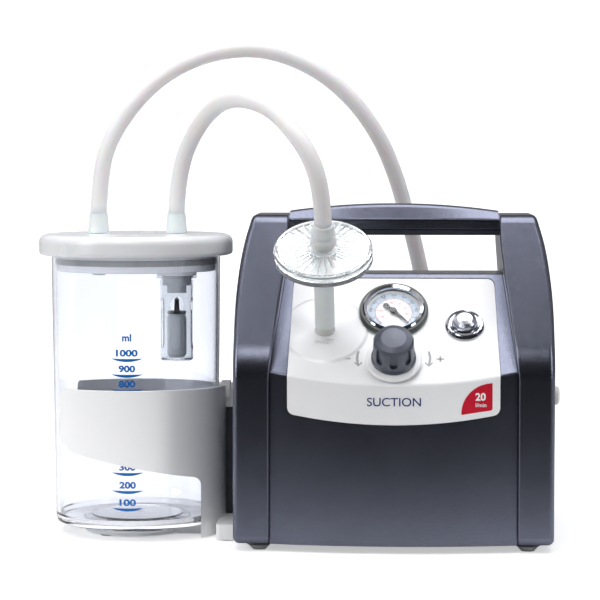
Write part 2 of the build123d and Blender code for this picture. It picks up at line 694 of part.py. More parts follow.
with BuildPart() as reed_valves:
    with BuildSketch(TOP.offset(100.05)):
        with Locations((ROD_X, MOTOR_Y - 8), (ROD_X, MOTOR_Y + 8)):
            Circle(4.6)
    extrude(amount=0.5)
save(reed_valves.part, "reed_valves")
with BuildPart() as pump_head:
    with BuildSketch(TOP.offset(100.0)):
        with Locations((HX, HY)):
            RectangleRounded(40, 50, 4)
    extrude(amount=12)
    with BuildSketch(TOP.offset(99)):
        with Locations((ROD_X, MOTOR_Y - 8), (ROD_X, MOTOR_Y + 8)):
            Circle(6.4)
    extrude(amount=8, mode=Mode.SUBTRACT)
    for y in (MOTOR_Y - 8, MOTOR_Y + 8):
        add(turned(Plane(origin=(XP + ROD_X, YF + y, 0), x_dir=(1, 0, 0), z_dir=(0, 0, 1)),
                   [(0, 111), (3.0, 111), (3.0, 117), (3.7, 119), (2.8, 123), (0, 123)]))
    with BuildSketch(TOP.offset(106)):
        with Locations((ROD_X, MOTOR_Y - 8), (ROD_X, MOTOR_Y + 8)):
            Circle(1.6)
        with Locations((HX, HY)):
            with GridLocations(31, 41, 2, 2):
                Circle(2.1)
    extrude(amount=20, mode=Mode.SUBTRACT)
    with BuildSketch(TOP.offset(99)):
        with Locations((HX, HY)):
            with GridLocations(31, 41, 2, 2):
                Circle(2.1)
    extrude(amount=14, mode=Mode.SUBTRACT)
save(pump_head.part, "pump_head")
with BuildPart() as head_screws:
    with BuildSketch(TOP.offset(112.0)):
        with Locations((HX, HY)):
            with GridLocations(31, 41, 2, 2):
                Circle(3.5)
    extrude(amount=3.0)
    with BuildSketch(TOP.offset(100.2)):
        with Locations((HX, HY)):
            with GridLocations(31, 41, 2, 2):
                Circle(2.0)
    extrude(amount=11.8)
    with BuildSketch(TOP.offset(113.6)):
        with Locations((HX, HY)):
            with GridLocations(31, 41, 2, 2):
                RegularPolygon(1.7, 6)
    extrude(amount=3, mode=Mode.SUBTRACT)
save(head_screws.part, "head_screws")

with BuildPart() as motor_cradle:
    with BuildSketch(AXIS.offset(-62)):
        with Locations((0, -26.6)):
            Rectangle(56, 30)
        Circle(28.15, mode=Mode.SUBTRACT)
    extrude(amount=8)
    with BuildSketch(AXIS.offset(-24)):
        with Locations((0, -26.6)):
            Rectangle(56, 30)
        Circle(28.15, mode=Mode.SUBTRACT)
    extrude(amount=8)
    with BuildSketch(TOP.offset(8.4)):
        with Locations((-38.0, MOTOR_Y)):
            Rectangle(48, 56)
    extrude(amount=3.4)
save(motor_cradle.part, "motor_cradle")
with BuildPart() as pump_mounts:
    for y in (-17, 17):
        for x in (-11, 11):
            add(turned(Plane(origin=(XP + HX + x, YF + HY + y, 0), x_dir=(1, 0, 0), z_dir=(0, 0, 1)),
                       [(0, 8.1), (5.5, 8.1), (4.2, 13.8), (5.5, 19.6), (0, 19.6)]))
save(pump_mounts.part, "pump_mounts")

# ======================================================================
# Side rail, stud, jar holder
# ======================================================================
with BuildPart() as side_rail:
    with BuildSketch(TOP.offset(11.6)):
        with Locations((-115.0, 106)):
            Rectangle(25.4, 42)
    extrude(amount=71.4)
    with BuildSketch(JAR_TOP.offset(0)):
        Circle(60.1)
    extrude(amount=200, mode=Mode.SUBTRACT)
save(side_rail.part, "side_rail")

STUD = Plane(origin=(XP, YF + 85, 92), x_dir=(0, 1, 0), z_dir=(1, 0, 0))
save(turned(STUD, [(0, 102.3), (7.0, 102.3), (7.0, 103.2), (4.5, 103.6), (4.5, 107.4), (6.2, 107.8), (6.2, 109.6), (4.6, 110.8), (0, 111.2)]), "side_stud")

with BuildPart() as jar_holder:
    add(turned(JAR_TOP, [(57.0, 1.0), (60.0, 1.0), (60.0, 99.8), (59.4, 100.4), (57.6, 100.4), (57.0, 99.8)]))
    # the arms slope up towards their round tips, and leave the left side open
    with BuildSketch(JAR_FRONT.offset(80)):
        with BuildLine():
            FilletPolyline((-46.6, 100.5), (-46.6, 60.3), (46.4, 41.0), (46.4, -5), (75, -5), (75, 100.5),
                           radius=(7, 10, 6, 0.5, 0.5, 0.5), close=True)
        make_face()
    extrude(amount=-160, mode=Mode.INTERSECT)
    # the rim falls a little towards the rear
    with BuildSketch(Plane(origin=(XJ - 80, YJ, 0), x_dir=(0, 1, 0), z_dir=(1, 0, 0))):
        with BuildLine():
            Polyline((-70, 100.3), (70, 96.0), (70, 125), (-70, 125), close=True)
        make_face()
    extrude(amount=160, mode=Mode.SUBTRACT)
    # foot beside the column, tongue and disc under the jar
    with BuildSketch(JAR_TOP.offset(1.0)):
        with Locations((63.5, 0)):
            RectangleRounded(13.6, 92, 3)
    extrude(amount=10)
    with BuildSketch(JAR_TOP.offset(11)):
        Circle(57.0)
    extrude(amount=-4.2, mode=Mode.SUBTRACT)
    with BuildSketch(JAR_TOP.offset(1.0)):
        Circle(35)
        with Locations((30, 0)):
            Rectangle(56, 44)
    extrude(amount=5.6)
    # bracket at the head of the rail, with the catch on top
    with BuildSketch(JAR_TOP.offset(83.2)):
        with Locations((64.0, 21)):
            Rectangle(12.8, 40)
    extrude(amount=12.4)
    with BuildSketch(JAR_TOP.offset(90)):
        with Locations((60.0, 4)):
            Rectangle(6.0, 12)
    extrude(amount=10.6)
    with BuildSketch(JAR_TOP.offset(80)):
        Circle(56.98)
    extrude(amount=60, mode=Mode.SUBTRACT)
save(jar_holder.part, "jar_holder")

with BuildPart() as holder_feet:
    for x, y in ((-17, -24), (-17, 24), (63.5, -38), (63.5, 38)):
        add(turned(Plane(origin=(XJ + x, YJ + y, 0), x_dir=(1, 0, 0), z_dir=(0, 0, 1)), [(0, 0), (4.5, 0), (5.5, 0.98), (0, 0.98)]))
save(holder_feet.part, "holder_feet")

# ======================================================================
# Jar, lid, float
# ======================================================================
with BuildPart() as jar:
    add(area(JAR_FRONT, [(0, 9.0), (30, 8.4), (34, 7.0), (50.5, JAR_Z0), (53.6, 8.2), (JAR_R0, 11.0), (JAR_R1, 186), (JAR_R1, JAR_Z1 - 0.8), (JAR_R1 - 0.8, JAR_Z1),
                         (JAR_R1 - 1.6, JAR_Z1), (JAR_R1 - JAR_WALL, JAR_Z1 - 0.8), (JAR_R0 - JAR_WALL, 14.0), (49.0, 10.6), (36, 10.4), (30, 12.0), (0, 12.6)]))
    revolve(axis=JAR_AXIS)
save(jar.part, "jar")

with BuildPart() as lid:
    with BuildSketch(JAR_FRONT):
        with BuildLine():
            FilletPolyline((0, 200.2), (LID_R, 199.8), (LID_R, 186.0), (58.6, 186.0), (58.6, 190.0), (53.4, 190.0), (53.4, 175.6),
                           (50.6, 175.6), (50.6, 196.2), (0, 196.2), radius=(5.5, 2.6, 0.8, 0.8, 0.6, 0.6, 0.6, 1.5))
            Line((0, 196.2), (0, 200.2))
        make_face()
    revolve(axis=JAR_AXIS)
    # spigots through the lid
    for px, low, r in ((PORT_L, 172.0, 4.35), (PORT_R, 160.3, 6.5)):
        port = Plane(origin=(XJ + px, YJ, 0), x_dir=(1, 0, 0), z_dir=(0, 0, 1))
        add(turned(port, [(0, low), (r, low), (r, 198), (4.35, 200), (4.35, 211.5), (3.4, 212.5), (0, 212.5)]))
    cage_port = Plane(origin=(XJ + PORT_R, YJ, 0), x_dir=(1, 0, 0), z_dir=(0, 0, 1))
    add(turned(cage_port, [(0, 165.5), (9.7, 165.5), (9.7, 172.1), (13.4, 172.1), (13.4, 174), (0, 174)]))
    with BuildSketch(JAR_TOP.offset(150)):
        with Locations((PORT_L, 0), (PORT_R, 0)):
            Circle(2.8)
    extrude(amount=80, mode=Mode.SUBTRACT)
save(lid.part, "lid")
save(turned(JAR_TOP, [(53.42, 180.0), (53.9, 180.4), (53.9, 183.6), (53.42, 184.0)]), "lid_seal")

for px, name in ((PORT_L, "patient_hose_cuff"), (PORT_R, "short_hose_cuff")):
    port = Plane(origin=(XJ + px, YJ, 0), x_dir=(1, 0, 0), z_dir=(0, 0, 1))
    save(turned(port, [(4.4, 200.3), (7.2, 200.3), (6.6, 207), (6.1, 213.5), (3.5, 213.5), (3.5, 212.6), (4.4, 212.6)]), name)

with BuildPart() as float_cage:
    add(turned(cage_port, [(9.8, 172.0), (13.5, 172.0), (13.5, 170.6), (11.0, 170.2), (11.0, 116), (10.0, 115), (0, 115), (0, 116.8), (9.8, 116.8)]))
    with BuildSketch(Plane(origin=(XJ + PORT_R, YJ, 0), x_dir=(1, 0, 0), z_dir=(0, -1, 0)).offset(-20)):
        with Locations((0, 140)):
            SlotOverall(34, 7.0, rotation=90)
    extrude(amount=40, mode=Mode.SUBTRACT)
    with BuildSketch(Plane(origin=(XJ + PORT_R, YJ, 0), x_dir=(0, 1, 0), z_dir=(1, 0, 0)).offset(-20)):
        with Locations((0, 140)):
            SlotOverall(34, 7.0, rotation=90)
    extrude(amount=40, mode=Mode.SUBTRACT)
save(float_cage.part, "float_cage")
save(turned(cage_port, [(0, 117.3), (5.2, 117.3), (6.5, 119), (6.5, 144), (5.4, 146.2), (0, 146.2)]), "float")
save(turned(cage_port, [(0, 146.25), (6.2, 146.25), (6.2, 148.0), (1.9, 148.4), (1.6, 156), (0, 157.5)]), "float_seal")

# ======================================================================
# Hoses
# ======================================================================
def at(points):
    return [Vector(XP + x, YF + y, z) for x, y, z in points]


def corner_radii(pts, label):
    out = []
    for a, b, c in zip(pts, pts[1:], pts[2:]):
        turn = (b - a).get_angle(c - b)
        out.append(0.45 * min((b - a).length, (c - b).length) / math.tan(math.radians(turn) / 2))
    print(label, "radii", [round(r, 1) for r in out], "runs", [round((b - a).length, 1) for a, b in zip(pts, pts[1:])])
    return out


def hose(points, label, radii=None):
    pts = at(points)
    with BuildPart() as p:
        with BuildLine() as path:
            FilletPolyline(*pts, radius=radii or corner_radii(pts, label))
        with BuildSketch(Plane(origin=path.line @ 0, z_dir=path.line % 0)):
            Circle(HOSE_D / 2)
        sweep(path=path.line)
    run = path.wire().length
    print(label, "length", round(run, 1), "volume ratio", round(p.part.volume / (math.pi * (HOSE_D / 2) ** 2 * run), 4))
    return p.part


SHORT = [(-145.6, 85, 214), (-144.6, 84, 240), (-131.3, 74, 271.5), (-109, 42, 290.5), (-81.3, -4, 285.1),
         (-64, -26, 270), (-50, -34, 250), (-44.2, -29.4, 226.9), (-44.2, -18.4, 210.0)]
PATIENT = [(-198, 85, 214), (-196.9, 86, 235.8), (-192.8, 88, 258.4), (-177.9, 92, 283.8), (-155.6, 97, 306.6), (-126.5, 103, 320.8),
           (-93.1, 110, 325.2), (-60.1, 118, 315.4), (-31.6, 127, 294.7), (-10.4, 137, 266.1), (1.4, 148, 237.7), (9.1, 160, 210.3),
           (16.3, 171, 183.8), (24, 181, 145), (31, 189, 108), (38, 195, 74), (44, 200, 34.8), (46.5, 210.7, 16.2), (47, 229.3, 5.5), (47, 250.7, 5.5)]
TAIL = [(44.5, 31), (30, 39.5), (12.5, 40.5), (-2, 34.5)]


def half(a, b, share):
    return tuple(p + (q - p) * share for p, q in zip(a, b))


cut = half(SHORT[3], SHORT[4], 0.5)
cut_far = half(SHORT[3], SHORT[4], 0.507)
radii = corner_radii(at(SHORT), "short hose")
save(hose(SHORT[:4] + [cut], "short_hose_jar_side", radii[:3]), "short_hose_jar_side")
save(hose([cut_far] + SHORT[4:], "short_hose_pump_side", radii[3:]), "short_hose_pump_side")
cut = half(PATIENT[6], PATIENT[7], 0.5)
cut_far = half(PATIENT[6], PATIENT[7], 0.51)
radii = corner_radii(at(PATIENT), "patient hose")
save(hose(PATIENT[:7] + [cut], "patient_hose_jar_side", radii[:6]), "patient_hose_jar_side")
COIL = Plane(origin=(XP + COIL_X, YF + COIL_Y, 0), x_dir=(1, 0, 0), z_dir=(0, 0, 1))
coil_ring = turned(COIL, [(48.7, 0), (83.0, 0), (83.0, 12.0), (48.7, 12.0)])
LEAD_Y = 243.0
with BuildPart() as patient_hose_coil:
    add(coil_ring)
    # the first stretch of the outer turn, where the hose runs in along the ring
    with BuildSketch(TOP):
        with Locations((47, (LEAD_Y + COIL_Y) / 2)):
            Rectangle(HOSE_D, COIL_Y - LEAD_Y)
    extrude(amount=12)
save(patient_hose_coil.part, "patient_hose_coil")
save(hose([cut_far] + PATIENT[7:-1] + [(47, LEAD_Y - 0.05, 5.5)], "patient_hose_down", radii[6:]), "patient_hose_down")
with BuildPart() as patient_hose_tail:
    add(hose([(COIL_X + x, COIL_Y + y, 5.5) for x, y in TAIL], "patient_hose_tail"))
    add(coil_ring, mode=Mode.SUBTRACT)
save(patient_hose_tail.part, "patient_hose_tail")

a = math.radians(202.5)
CONN = Plane(origin=(XP + COIL_X + TAIL[-1][0] - 0.3, YF + COIL_Y + TAIL[-1][1] - 0.12, 5.5), x_dir=(0, 0, 1), z_dir=(math.cos(a), math.sin(a), 0))
with BuildPart() as hose_connector:
    add(turned(CONN, [(0, 0), (5.5, 0), (5.5, 3), (5.5, 20), (4.0, 22), (4.0, 37), (3.2, 38), (0, 38)]))
    with BuildSketch(CONN.offset(-1)):
        Circle(2.2)
    extrude(amount=60, mode=Mode.SUBTRACT)
save(hose_connector.part, "hose_connector")

# Tubes inside the pump
def tube(points, d, bore, label, r=None):
    pts = at(points)
    rad = r if r else [0.45 * min((b - a).length, (c - b).length) / math.tan(math.radians((b - a).get_angle(c - b)) / 2) for a, b, c in zip(pts, pts[1:], pts[2:])]
    with BuildPart() as p:
        with BuildLine() as path:
            FilletPolyline(*pts, radius=rad)
        with BuildSketch(Plane(origin=path.line @ 0, z_dir=path.line % 0)):
            Circle(d / 2)
            Circle(bore / 2, mode=Mode.SUBTRACT)
        sweep(path=path.line)
    return p.part


inner_port = inlet(-24.2).origin
valve_port = console(0, KNOB_Y, -38.2).origin
vx, vy, vz = 0.0, valve_port.Y - YF, valve_port.Z
ix, iy, iz = INLET_X, inner_port.Y - YF, inner_port.Z
save(tube([(ROD_X, 87, 123.6), (ROD_X, 85.5, 134), (ROD_X + 1.5, 71, 133), (ROD_X + 2.5, 58, 112), (18, 53, 90), (0, vy + 9.8, vz - 10.0), (0, vy, vz)], 6.4, 3.6, "vacuum_tube"), "vacuum_tube")
save(tube([(ROD_X, 103, 123.6), (ROD_X, 104.5, 134), (ROD_X - 5, 118, 140), (0, 133, 132), (-24, 142, 104), (-44, 143, 76), (-50, 142.5, 60), (-50, 142, 43.4)], 6.4, 3.6, "exhaust_tube"), "exhaust_tube")
save(tube([(ix, iy, iz), (ix, iy + 8.0, iz - 12.4), (-34, 60, 92), (-18, 62, 84), (-4, 57.5, 84)], 6.4, 3.6, "inlet_tube"), "inlet_tube")

# ======================================================================
# Pieces that are one unit on the real object share a node
# ======================================================================
UNITS = {
    "motor_stator": ["motor_can", "motor_magnets", "motor_end_plate", "motor_bearings"],
    "motor_rotor": ["rotor_core", "rotor_windings", "motor_shaft", "crank"],
    "connecting_rod": ["connecting_rod", "rod_bearing"],
    "valve_plate": ["valve_plate", "reed_valves"],
    "regulator_knob": ["regulator_knob", "valve_spindle"],
    "rubber_feet": ["rubber_feet", "holder_feet"],
    "inner_tubes": ["vacuum_tube", "exhaust_tube", "inlet_tube"],
    "power_switch": ["switch_body", "button_spring"],
    "mains_inlet": ["mains_inlet", "fuse_holder"],
    "gauge_case": ["gauge_case", "gauge_movement"],
    "hose_cuffs": ["short_hose_cuff", "patient_hose_cuff"],
}
for unit, names in UNITS.items():
    with BuildPart() as joined:
        for name in names:
            add(pieces.pop(name))
    pieces[unit] = joined.part

for name, piece in pieces.items():
    piece.label = name
    export_step(piece, f"parts/{name}.step")
print(len(pieces), "nodes")
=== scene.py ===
import math

import bmesh
import bpy
from mathutils import Matrix, Vector


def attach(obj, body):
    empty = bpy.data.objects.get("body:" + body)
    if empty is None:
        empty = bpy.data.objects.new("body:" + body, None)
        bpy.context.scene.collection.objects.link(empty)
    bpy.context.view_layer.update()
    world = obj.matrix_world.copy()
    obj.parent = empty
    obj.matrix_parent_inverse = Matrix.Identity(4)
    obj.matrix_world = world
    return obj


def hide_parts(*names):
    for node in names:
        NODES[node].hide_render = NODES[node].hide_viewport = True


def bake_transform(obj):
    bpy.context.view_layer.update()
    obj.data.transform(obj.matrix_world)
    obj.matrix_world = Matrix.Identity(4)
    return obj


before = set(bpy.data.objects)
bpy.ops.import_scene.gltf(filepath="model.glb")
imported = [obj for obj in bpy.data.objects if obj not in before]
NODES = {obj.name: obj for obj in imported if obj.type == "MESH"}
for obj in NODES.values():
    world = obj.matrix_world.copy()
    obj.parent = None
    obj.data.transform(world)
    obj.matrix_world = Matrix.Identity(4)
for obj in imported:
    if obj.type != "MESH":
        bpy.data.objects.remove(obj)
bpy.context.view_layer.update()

scene = bpy.context.scene

# ---- The CAD part's own numbers, in mm ----
XP, YF = 63.3, -68.0
XJ, YJ = XP - 172.8, YF + 85.0
SLOPE = math.radians(44.5)
TILT = math.radians(33.4)
GAUGE_Y, KNOB_Y = 39.0, 8.3
BUTTON_X, BUTTON_Y = 45.6, 30.5
INLET_X, INLET_Y = -44.2, 27.8
COIL_X, COIL_Y = -30.5, 285.5
HOSE_D = 0.011


def row(x, y, z):
    """A point of the pump's own layout, in metres in the row frame."""
    return Vector(((XP + x) / 1000, (YF + y) / 1000, z / 1000))


def slope_z(y):
    return 115.5 + (y - 3.0) * math.tan(SLOPE)


def console(x, y, out=0.0):
    """A frame on the console: x across, y up the slope, z out of it; millimetres in, metres out."""
    across, up = Vector((1, 0, 0)), Vector((0, math.cos(SLOPE), math.sin(SLOPE)))
    n = Vector((0, -math.sin(SLOPE), math.cos(SLOPE)))
    o = row(x, y, slope_z(y)) + n * (out / 1000)
    return Matrix(((across.x, up.x, n.x, o.x), (across.y, up.y, n.y, o.y), (across.z, up.z, n.z, o.z), (0, 0, 0, 1)))


def inlet(s=0.0):
    """A frame across the inlet's axis, s millimetres along it."""
    across, up = Vector((1, 0, 0)), Vector((0, math.cos(TILT), math.sin(TILT)))
    u = Vector((0, -math.sin(TILT), math.cos(TILT)))
    o = row(INLET_X, INLET_Y, slope_z(INLET_Y)) + u * (s / 1000)
    return Matrix(((across.x, up.x, u.x, o.x), (across.y, up.y, u.y, o.y), (across.z, up.z, u.z, o.z), (0, 0, 0, 1)))


def jar_point(u, z, out=0.0):
    """A point on the jar's outer wall, u millimetres round from its front."""
    r = 54.5 + 2.0 * (z - 11.0) / 175.0 + out
    a = u / r
    return Vector(((XJ + r * math.sin(a)) / 1000, (YJ - r * math.cos(a)) / 1000, z / 1000))


def front_point(x, z, out=0.0):
    """A point on the control panel's upright front."""
    y = 395.0 - math.sqrt(400.35 ** 2 - x ** 2) - out
    return row(x, y, z)


# ======================================================================
# Camera
# ======================================================================
camera = bpy.data.objects.new("camera", bpy.data.cameras.new("camera"))
scene.collection.objects.link(camera)
scene.camera = camera
camera.data.sensor_width = 36.0
camera.data.lens = 133.4
camera.data.clip_start, camera.data.clip_end = 0.05, 60.0
pitch, yaw = math.radians(3.83), math.radians(2.42)
look = Vector((-math.sin(yaw) * math.cos(pitch), math.cos(yaw) * math.cos(pitch), -math.sin(pitch)))
camera.location = row(0, -1400, 255)
camera.rotation_mode = "QUATERNION"
camera.rotation_quaternion = look.to_track_quat("-Z", "Y")


# ======================================================================
# Materials
# ======================================================================
def lin(c):
    """An sRGB colour, 0 to 255, as linear light."""
    out = []
    for v in c:
        v = v / 255.0
        out.append(v / 12.92 if v <= 0.04045 else ((v + 0.055) / 1.055) ** 2.4)
    return (*out, 1.0)


def material(name, colour, rough, other=None, patch=35.0, grain=0.0, grain_size=0.0004, rough_spread=0.06,
             brushed=None, metal=0.0, flake=0.0, **sockets):
    """A Principled material with soft patches of a second shade, roughness that wanders and, if asked, a fine moulded grain."""
    m = bpy.data.materials.new(name)
    m.use_nodes = True
    t = m.node_tree
    s = t.nodes["Principled BSDF"]
    coords = t.nodes.new("ShaderNodeTexCoord")
    other = other or tuple(min(255, v * 1.06 + 1) for v in colour)
    patches = t.nodes.new("ShaderNodeTexNoise")
    patches.inputs["Scale"].default_value = patch
    patches.inputs["Detail"].default_value = 5.0
    patches.inputs["Roughness"].default_value = 0.6
    t.links.new(coords.outputs["Object"], patches.inputs["Vector"])
    ramp = t.nodes.new("ShaderNodeValToRGB")
    ramp.color_ramp.elements[0].position, ramp.color_ramp.elements[1].position = 0.32, 0.68
    ramp.color_ramp.elements[0].color, ramp.color_ramp.elements[1].color = lin(colour), lin(other)
    t.links.new(patches.outputs["Fac"], ramp.inputs["Fac"])
    shade = ramp.outputs["Color"]
    if flake:
        # bright and dark specks of metal in the paint
        specks = t.nodes.new("ShaderNodeTexVoronoi")
        specks.inputs["Scale"].default_value = 1.0 / 0.0005
        t.links.new(coords.outputs["Object"], specks.inputs["Vector"])
        level = t.nodes.new("ShaderNodeMapRange")
        level.inputs["To Min"].default_value, level.inputs["To Max"].default_value = 1.0 - flake, 1.0 + flake
        tint = t.nodes.new("ShaderNodeSeparateColor")
        t.links.new(specks.outputs["Color"], tint.inputs["Color"])
        t.links.new(tint.outputs[0], level.inputs["Value"])
        dapple = t.nodes.new("ShaderNodeVectorMath")
        dapple.operation = "SCALE"
        t.links.new(ramp.outputs["Color"], dapple.inputs[0])
        t.links.new(level.outputs["Result"], dapple.inputs["Scale"])
        shade = dapple.outputs["Vector"]
    t.links.new(shade, s.inputs["Base Color"])
    smear = t.nodes.new("ShaderNodeTexNoise")
    smear.inputs["Scale"].default_value = patch * 2.3
    smear.inputs["Detail"].default_value = 3.0
    source = coords.outputs["Object"]
    if brushed:
        stretch = t.nodes.new("ShaderNodeMapping")
        stretch.inputs["Scale"].default_value = brushed
        t.links.new(source, stretch.inputs["Vector"])
        source = stretch.outputs["Vector"]
    t.links.new(source, smear.inputs["Vector"])
    spread = t.nodes.new("ShaderNodeMapRange")
    spread.inputs["To Min"].default_value = max(0.01, rough - rough_spread)
    spread.inputs["To Max"].default_value = min(1.0, rough + rough_spread)
    t.links.new(smear.outputs["Fac"], spread.inputs["Value"])
    t.links.new(spread.outputs["Result"], s.inputs["Roughness"])
    if grain:
        fine = t.nodes.new("ShaderNodeTexNoise")
        fine.inputs["Scale"].default_value = 1.0 / grain_size
        fine.inputs["Detail"].default_value = 2.0
        t.links.new(source, fine.inputs["Vector"])
        bump = t.nodes.new("ShaderNodeBump")
        bump.inputs["Strength"].default_value = grain
        bump.inputs["Distance"].default_value = 0.0001
        t.links.new(fine.outputs["Fac"], bump.inputs["Height"])
        t.links.new(bump.outputs["Normal"], s.inputs["Normal"])
    s.inputs["Metallic"].default_value = metal
    for key, value in sockets.items():
        s.inputs[key.replace("_", " ")].default_value = value
    return m


MAT = {
    "body_plastic": material("body_paint", (100, 103, 117), 0.25, (107, 110, 124), patch=24, grain=0.6, grain_size=0.00038,
                             rough_spread=0.03, metal=0.95, Coat_Weight=0.2, Coat_Roughness=0.25, flake=0.14),
    "panel_white": material("panel_gloss", (243, 244, 245), 0.22, (248, 248, 248), patch=18, grain=0.12, grain_size=0.0009,
                            rough_spread=0.04, Coat_Weight=0.25, Coat_Roughness=0.12),
    "holder_white": material("holder_satin", (249, 250, 249), 0.3, (252, 252, 252), patch=16, grain=0.2, grain_size=0.0007,
                             rough_spread=0.05, Coat_Weight=0.1, Coat_Roughness=0.2),
    "lid_white": material("lid_gloss", (238, 240, 242), 0.26, (244, 245, 246), patch=20, grain=0.12, grain_size=0.0008,
                          rough_spread=0.05, Coat_Weight=0.2, Coat_Roughness=0.15, Subsurface_Weight=0.08, Subsurface_Scale=0.003),
    "jar_clear": material("jar_wall", (241, 243, 248), 0.03, (244, 246, 251), patch=14, rough_spread=0.015,
                          Transmission_Weight=1.0, IOR=1.45),
    "filter_clear": material("filter_shell", (244, 248, 250), 0.06, (250, 251, 252), patch=60, rough_spread=0.03,
                             Transmission_Weight=0.92, IOR=1.4),
    "silicone": material("silicone_milky", (250, 251, 251), 0.32, (253, 253, 253), patch=45, grain=0.15, grain_size=0.0006,
                         rough_spread=0.08, Subsurface_Weight=0.4, Subsurface_Scale=0.006, Transmission_Weight=0.15, IOR=1.3),
    "rubber_dark": material("rubber_black", (34, 35, 37), 0.62, (46, 47, 49), patch=80, grain=0.5, grain_size=0.0005),
    "rubber_light": material("rubber_grey", (150, 152, 150), 0.6, (172, 173, 171), patch=80, grain=0.5, grain_size=0.0005),
    "grip_soft": material("grip_soft_touch", (38, 42, 52), 0.48, (48, 52, 62), patch=60, grain=0.6, grain_size=0.0006),
    "gasket_olive": material("gasket_rubber", (62, 70, 66), 0.36, (84, 92, 86), patch=90, grain=0.3, grain_size=0.0005),
    "chrome": material("chrome_plate", (206, 208, 214), 0.09, (222, 223, 228), patch=60, rough_spread=0.04, metal=1.0),
    "dial_white": material("dial_print_white", (246, 247, 248), 0.45, (250, 250, 251), patch=60, grain=0.1, grain_size=0.0004),
    "needle_black": material("needle_enamel", (22, 24, 25), 0.32, (34, 37, 38), patch=200, grain=0.1),
    "lens_clear": material("lens_clear", (250, 251, 252), 0.02, (252, 253, 254), patch=20, rough_spread=0.01,
                           Transmission_Weight=1.0, IOR=1.2),
    "knob_dark": material("knob_satin", (82, 86, 97), 0.36, (96, 100, 112), patch=60, grain=0.7, grain_size=0.0004,
                          rough_spread=0.08, metal=0.35, Coat_Weight=0.15, Coat_Roughness=0.3),
    "button_grey": material("button_satin_metal", (168, 171, 182), 0.2, (188, 190, 200), patch=90, rough_spread=0.08, metal=0.9,
                            brushed=(40, 1, 1), grain=0.2, grain_size=0.0003),
    "black_plastic": material("moulded_black", (28, 29, 31), 0.5, (38, 39, 42), patch=50, grain=0.6, grain_size=0.0006),
    "steel": material("steel_zinc", (160, 162, 166), 0.3, (186, 187, 190), patch=70, metal=1.0, grain=0.2),
    "zinc_can": material("zinc_can", (168, 168, 162), 0.36, (190, 189, 182), patch=40, metal=1.0, grain=0.25, brushed=(1, 14, 14)),
    "laminations": material("stacked_sheet", (96, 96, 98), 0.5, (122, 121, 120), patch=60, metal=0.9, brushed=(60, 1, 1), grain=0.8),
    "alloy": material("cast_alloy", (168, 169, 172), 0.46, (186, 187, 189), patch=60, metal=0.9, grain=0.9, grain_size=0.0008),
    "diaphragm_rubber": material("diaphragm_rubber", (40, 41, 42), 0.55, (52, 53, 54), patch=80, grain=0.5),
    "paper_membrane": material("membrane_fibre", (246, 247, 246), 0.85, (252, 252, 252), patch=120, grain=0.9, grain_size=0.0003),
    "nylon_white": material("nylon", (226, 226, 220), 0.42, (236, 236, 232), patch=60, grain=0.4),
    "float_plastic": material("float_plastic", (206, 211, 217), 0.3, (220, 224, 229), patch=60, grain=0.2, Subsurface_Weight=0.1,
                              Subsurface_Scale=0.002),
}
INK_BLUE = material("ink_blue", (0, 92, 172), 0.4, (10, 106, 186), patch=120, grain=0.15, grain_size=0.0003)
INK_NAVY = material("ink_navy", (24, 36, 108), 0.4, (30, 44, 120), patch=120, grain=0.15, grain_size=0.0003)
INK_RED = material("label_red", (198, 20, 46), 0.34, (206, 26, 52), patch=90, grain=0.12, grain_size=0.0004)
INK_WHITE = material("ink_white", (248, 248, 248), 0.4, (252, 252, 252), patch=120, grain=0.1, grain_size=0.0004)
INK_GREY = material("ink_grey", (158, 160, 162), 0.45, (170, 172, 174), patch=120, grain=0.1, grain_size=0.0004)
INK_BLACK = material("ink_black", (34, 38, 44), 0.45, (46, 50, 56), patch=200, grain=0.1, grain_size=0.0003)
INK_ROSE = material("ink_rose", (206, 82, 92), 0.45, (214, 96, 104), patch=200, grain=0.1, grain_size=0.0003)
BAND_BLUE = material("dial_band_blue", (196, 210, 226), 0.45, (206, 218, 232), patch=120, grain=0.1, grain_size=0.0003)



def dark_rim(m, start, colour):
    """Painted shade on a clear wall: its colour darkens where the surface turns away from view, standing in for the
    dark edges that a thick clear wall shows edge-on.
    """
    t = m.node_tree
    s = t.nodes["Principled BSDF"]
    plain = s.inputs["Base Color"].links[0].from_socket
    turn = t.nodes.new("ShaderNodeLayerWeight")
    turn.inputs["Blend"].default_value = 0.5
    ramp = t.nodes.new("ShaderNodeValToRGB")
    ramp.color_ramp.elements[0].position, ramp.color_ramp.elements[1].position = start, 0.97
    ramp.color_ramp.elements[0].color, ramp.color_ramp.elements[1].color = (1, 1, 1, 1), lin(colour)
    t.links.new(turn.outputs["Facing"], ramp.inputs["Fac"])
    mix = t.nodes.new("ShaderNodeVectorMath")
    mix.operation = "MULTIPLY"
    t.links.new(plain, mix.inputs[0])
    t.links.new(ramp.outputs["Color"], mix.inputs[1])
    t.links.new(mix.outputs["Vector"], s.inputs["Base Color"])


# painted shade: the jar's wall turns grey where it is seen edge-on
dark_rim(MAT["jar_clear"], 0.72, (120, 124, 134))

for name, node in NODES.items():
    for slot in node.material_slots:
        if slot.material:
            key = slot.material.name.split(".")[0]
            slot.link = "OBJECT"
            slot.material = MAT[key]


# ======================================================================
# Mesh helpers
# ======================================================================
def piece(name, mesh, mat, body, smooth=True):
    mesh.name = name
    ob = bpy.data.objects.new(name, mesh)
    scene.collection.objects.link(ob)
    ob.data.materials.clear()
    ob.data.materials.append(mat)
    for p in ob.data.polygons:
        p.use_smooth = smooth
    if body:
        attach(ob, body)
    return ob


def mesh_of(points, faces):
    me = bpy.data.meshes.new("made")
    me.from_pydata([tuple(p) for p in points], [], faces)
    me.update()
    return me


